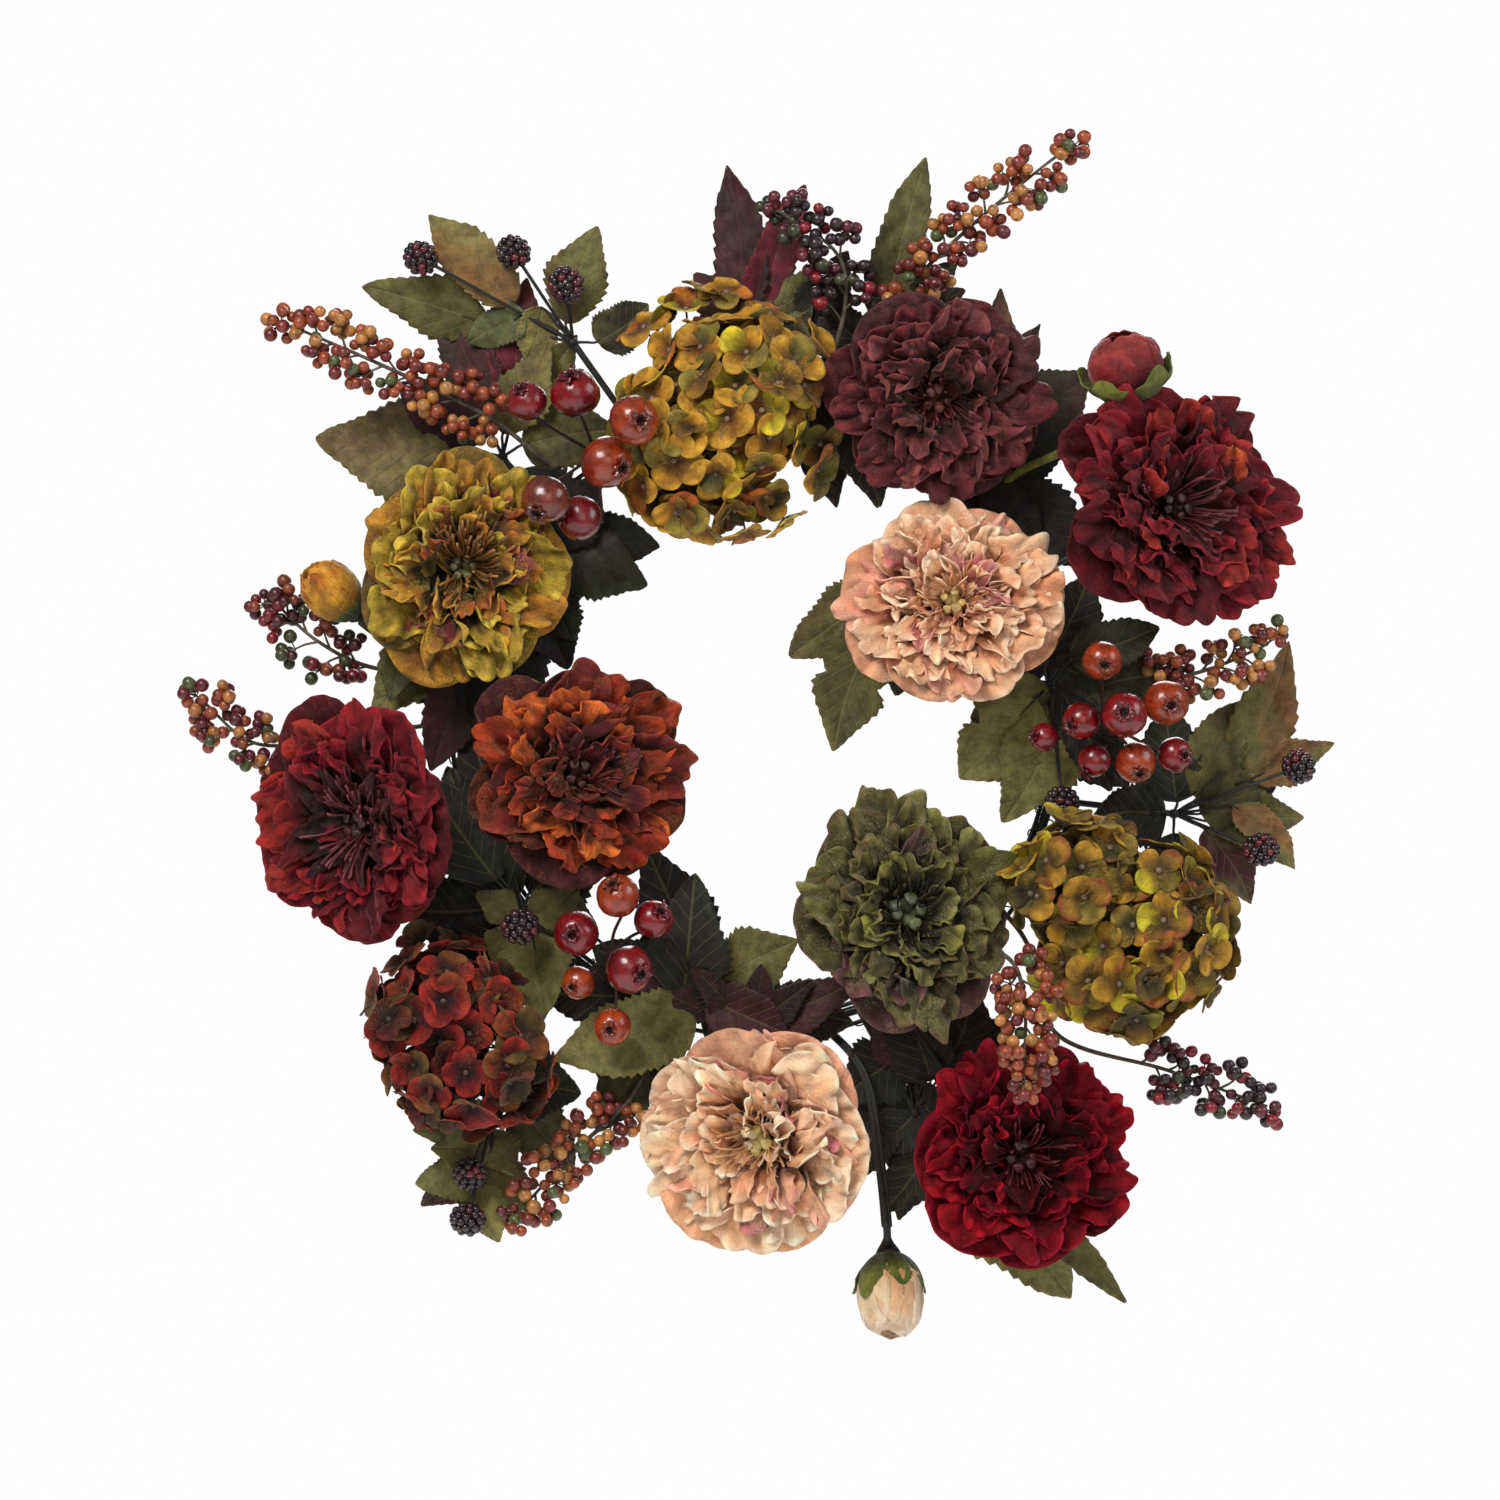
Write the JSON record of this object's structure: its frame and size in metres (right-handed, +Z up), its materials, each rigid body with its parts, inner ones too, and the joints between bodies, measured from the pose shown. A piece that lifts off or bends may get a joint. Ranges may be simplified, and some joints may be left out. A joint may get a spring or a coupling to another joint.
{
  "type": "harvest door wreath",
  "caption": "Round artificial-flower door wreath of wired peonies, hydrangeas, buds, hips, berry sprays and leaves tied to a rod ring, with a wire hanging loop.",
  "frame": {"origin": "the hanging point: the flat back of the main rod at the top of the ring, in the door plane", "axes": "+Z up, +Y towards the door, the wreath faces -Y, +X to the viewer's right"},
  "size_m": [0.585, 0.1225, 0.6043],
  "materials": {
    "coated_rod": "black plastic-coated rod, semi-gloss",
    "wire": "thin black-coated wire",
    "dark_stem": "wired stem in black-green tape",
    "bud_stem": "moulded olive-green stem and sepals",
    "petal_gold": "pressed velvet and silk petals, lime to mustard",
    "petal_burgundy": "dark wine velvet petals",
    "petal_red": "crimson velvet petals with orange lights",
    "petal_peach": "peach and cream silk petals with mauve tips",
    "petal_copper": "copper and rust petals",
    "petal_olive": "moss and olive velvet petals",
    "petal_crimson": "deep crimson velvet petals",
    "floret_yellow": "golden florets with a satin face",
    "floret_olive": "olive and mustard florets",
    "floret_bronze": "crimson and bronze florets",
    "bud_yellow": "mustard satin petals",
    "bud_red": "rose-red satin petals",
    "bud_cream": "cream satin petals",
    "hip_skin": "lacquered foam fruit, red to orange",
    "berry_orange": "lacquered beads, orange to tan",
    "berry_dark": "lacquered beads, plum to black",
    "bramble": "lacquered black-purple drupelets",
    "leaf_olive": "printed olive leaf cloth",
    "leaf_maroon": "printed maroon leaf cloth",
    "leaf_dark": "printed black-green leaf cloth"
  },
  "bodies": {
    "wreath": {"binding_wire": "wire", "bramble_pick_inner_right": "bramble", "bramble_pick_left": "bramble", "bramble_pick_lower_left": "bramble", "bramble_pick_right": "bramble", "bramble_pick_upper_left": "bramble", "hips_lower_left": "hip_skin", "hips_right": "hip_skin", "hips_upper_left": "hip_skin", "hydrangea_bronze": "floret_bronze", "hydrangea_bronze_stem": "dark_stem", "hydrangea_olive": "floret_olive", "hydrangea_olive_stem": "dark_stem", "hydrangea_yellow": "floret_yellow", "hydrangea_yellow_stem": "dark_stem", "leaf_pick_inner_left": "leaf_dark", "leaf_pick_inner_right": "leaf_olive", "leaf_pick_lower_inner": "leaf_olive", "leaf_pick_lower_right": "leaf_olive", "leaf_pick_tall": "leaf_olive", "leaf_pick_top": "leaf_maroon", "leaf_pick_upper_left": "leaf_maroon", "leaf_pick_upper_right": "leaf_dark", "ring_rod_inner": "coated_rod", "ring_rod_main": "coated_rod", "ring_rod_outer": "coated_rod"},
    "peony_gold_pick": {"peony_gold": "petal_gold", "peony_gold_stem": "dark_stem"},
    "peony_burgundy_pick": {"peony_burgundy": "petal_burgundy", "peony_burgundy_stem": "dark_stem"},
    "peony_red_right_pick": {"peony_red_right": "petal_red", "peony_red_right_stem": "dark_stem"},
    "peony_peach_top_pick": {"peony_peach_top": "petal_peach", "peony_peach_top_stem": "dark_stem"},
    "peony_red_left_pick": {"peony_red_left": "petal_red", "peony_red_left_stem": "dark_stem"},
    "peony_orange_pick": {"peony_orange": "petal_copper", "peony_orange_stem": "dark_stem"},
    "peony_olive_pick": {"peony_olive": "petal_olive", "peony_olive_stem": "dark_stem"},
    "peony_peach_bottom_pick": {"peony_peach_bottom": "petal_peach", "peony_peach_bottom_stem": "dark_stem"},
    "peony_crimson_pick": {"peony_crimson": "petal_crimson", "peony_crimson_stem": "dark_stem"},
    "bud_yellow_pick": {"bud_yellow": "bud_yellow", "bud_yellow_stem": "bud_stem"},
    "bud_red_pick": {"bud_red": "bud_red", "bud_red_stem": "bud_stem"},
    "bud_cream_pick": {"bud_cream": "bud_cream", "bud_cream_stem": "bud_stem"},
    "berry_spray_upper_left_pick": {"berry_spray_upper_left": "berry_orange"},
    "berry_spray_upper_right_pick": {"berry_spray_upper_right": "berry_orange"},
    "berry_spray_top_pick": {"berry_spray_top": "berry_dark"},
    "berry_spray_left_pick": {"berry_spray_left": "berry_dark"},
    "berry_spray_far_left_pick": {"berry_spray_far_left": "berry_orange"},
    "berry_spray_right_pick": {"berry_spray_right": "berry_orange"},
    "berry_spray_front_pick": {"berry_spray_front": "berry_orange"},
    "berry_spray_lower_right_pick": {"berry_spray_lower_right": "berry_dark"},
    "berry_spray_lower_left_pick": {"berry_spray_lower_left": "berry_orange"},
    "hanger": {"hanger_loop": "wire"}
  },
  "joints": [
    {"name": "bend_peony_gold", "type": "hinge", "parent": "wreath", "child": "peony_gold_pick", "pos_m": [-0.13456, -0.0086, -0.08085], "axis": [-0.4695, 0, -0.8829], "range_deg": [0, 8]},
    {"name": "bend_peony_burgundy", "type": "hinge", "parent": "wreath", "child": "peony_burgundy_pick", "pos_m": [0.07155, -0.0086, -0.01784], "axis": [-0.8829, 0, 0.4695], "range_deg": [0, 12]},
    {"name": "bend_peony_red_right", "type": "hinge", "parent": "wreath", "child": "peony_red_right_pick", "pos_m": [0.13329, -0.0086, -0.07852], "axis": [-0.4848, 0, 0.8746], "range_deg": [0, 6]},
    {"name": "bend_peony_peach_top", "type": "hinge", "parent": "wreath", "child": "peony_peach_top_pick", "pos_m": [0.12171, -0.0086, -0.06068], "axis": [-0.6018, 0, 0.7986], "range_deg": [-8, 0]},
    {"name": "bend_peony_red_left", "type": "hinge", "parent": "wreath", "child": "peony_red_left_pick", "pos_m": [-0.14574, -0.0086, -0.19696], "axis": [0.2924, 0, -0.9563], "range_deg": [0, 12]},
    {"name": "bend_peony_orange", "type": "hinge", "parent": "wreath", "child": "peony_orange_pick", "pos_m": [-0.15092, -0.0086, -0.17361], "axis": [0.1392, 0, -0.9903], "range_deg": [-12, 0]},
    {"name": "bend_peony_olive", "type": "hinge", "parent": "wreath", "child": "peony_olive_pick", "pos_m": [0.09172, -0.0086, -0.27411], "axis": [0.7986, 0, 0.6018], "range_deg": [-10, 0]},
    {"name": "bend_peony_peach_bottom", "type": "hinge", "parent": "wreath", "child": "peony_peach_bottom_pick", "pos_m": [-0.00532, -0.0086, -0.30471], "axis": [0.9994, 0, -0.0349], "range_deg": [0, 14]},
    {"name": "bend_peony_crimson", "type": "hinge", "parent": "wreath", "child": "peony_crimson_pick", "pos_m": [0.06681, -0.0086, -0.28938], "axis": [0.8988, 0, 0.4384], "range_deg": [0, 10]},
    {"name": "bend_bud_yellow", "type": "hinge", "parent": "wreath", "child": "bud_yellow_pick", "pos_m": [-0.14321, -0.0086, -0.10028], "axis": [-0.342, 0, -0.9397], "range_deg": [-6, 4]},
    {"name": "bend_bud_red", "type": "hinge", "parent": "wreath", "child": "bud_red_pick", "pos_m": [0.10776, -0.0086, -0.04464], "axis": [-0.7071, 0, 0.7071], "range_deg": [-3, 10]},
    {"name": "bend_bud_cream", "type": "hinge", "parent": "wreath", "child": "bud_cream_pick", "pos_m": [0.02908, -0.0086, -0.302], "axis": [0.9816, 0, 0.1908], "range_deg": [-15, 8]},
    {"name": "bend_berry_spray_upper_left", "type": "hinge", "parent": "wreath", "child": "berry_spray_upper_left_pick", "pos_m": [-0.09172, -0.0086, -0.03069], "axis": [-0.7986, 0, -0.6018], "range_deg": [-12, 9]},
    {"name": "bend_berry_spray_upper_right", "type": "hinge", "parent": "wreath", "child": "berry_spray_upper_right_pick", "pos_m": [0.05212, -0.0086, -0.00919], "axis": [-0.9397, 0, 0.342], "range_deg": [-12, 3]},
    {"name": "bend_berry_spray_top", "type": "hinge", "parent": "wreath", "child": "berry_spray_top_pick", "pos_m": [0.02384, -0.0086, -0.00188], "axis": [-0.9877, 0, 0.1564], "range_deg": [-12, 6]},
    {"name": "bend_berry_spray_left", "type": "hinge", "parent": "wreath", "child": "berry_spray_left_pick", "pos_m": [-0.14907, -0.0086, -0.12071], "axis": [-0.2079, 0, -0.9781], "range_deg": [-4, 10]},
    {"name": "bend_berry_spray_far_left", "type": "hinge", "parent": "wreath", "child": "berry_spray_far_left_pick", "pos_m": [-0.1524, -0.0086, -0.1524], "axis": [0, 0, -1], "range_deg": [-12, 7]},
    {"name": "bend_berry_spray_right", "type": "hinge", "parent": "wreath", "child": "berry_spray_right_pick", "pos_m": [0.15157, -0.0086, -0.13647], "axis": [-0.1045, 0, 0.9945], "range_deg": [-10, 9]},
    {"name": "bend_berry_spray_front", "type": "hinge", "parent": "wreath", "child": "berry_spray_front_pick", "pos_m": [0.10776, -0.0086, -0.26016], "axis": [0.7071, 0, 0.7071], "range_deg": [-4, 4]},
    {"name": "bend_berry_spray_lower_right", "type": "hinge", "parent": "wreath", "child": "berry_spray_lower_right_pick", "pos_m": [0.12171, -0.0086, -0.24412], "axis": [0.6018, 0, 0.7986], "range_deg": [-12, 8]},
    {"name": "bend_berry_spray_lower_left", "type": "hinge", "parent": "wreath", "child": "berry_spray_lower_left_pick", "pos_m": [-0.04201, -0.0086, -0.2989], "axis": [0.9613, 0, -0.2756], "range_deg": [-8, 5]},
    {"name": "swing_hanger", "type": "hinge", "parent": "wreath", "child": "hanger", "pos_m": [0, -0.0025, 0.0063], "axis": [1, 0, 0], "range_deg": [0, 90]}
  ]
}
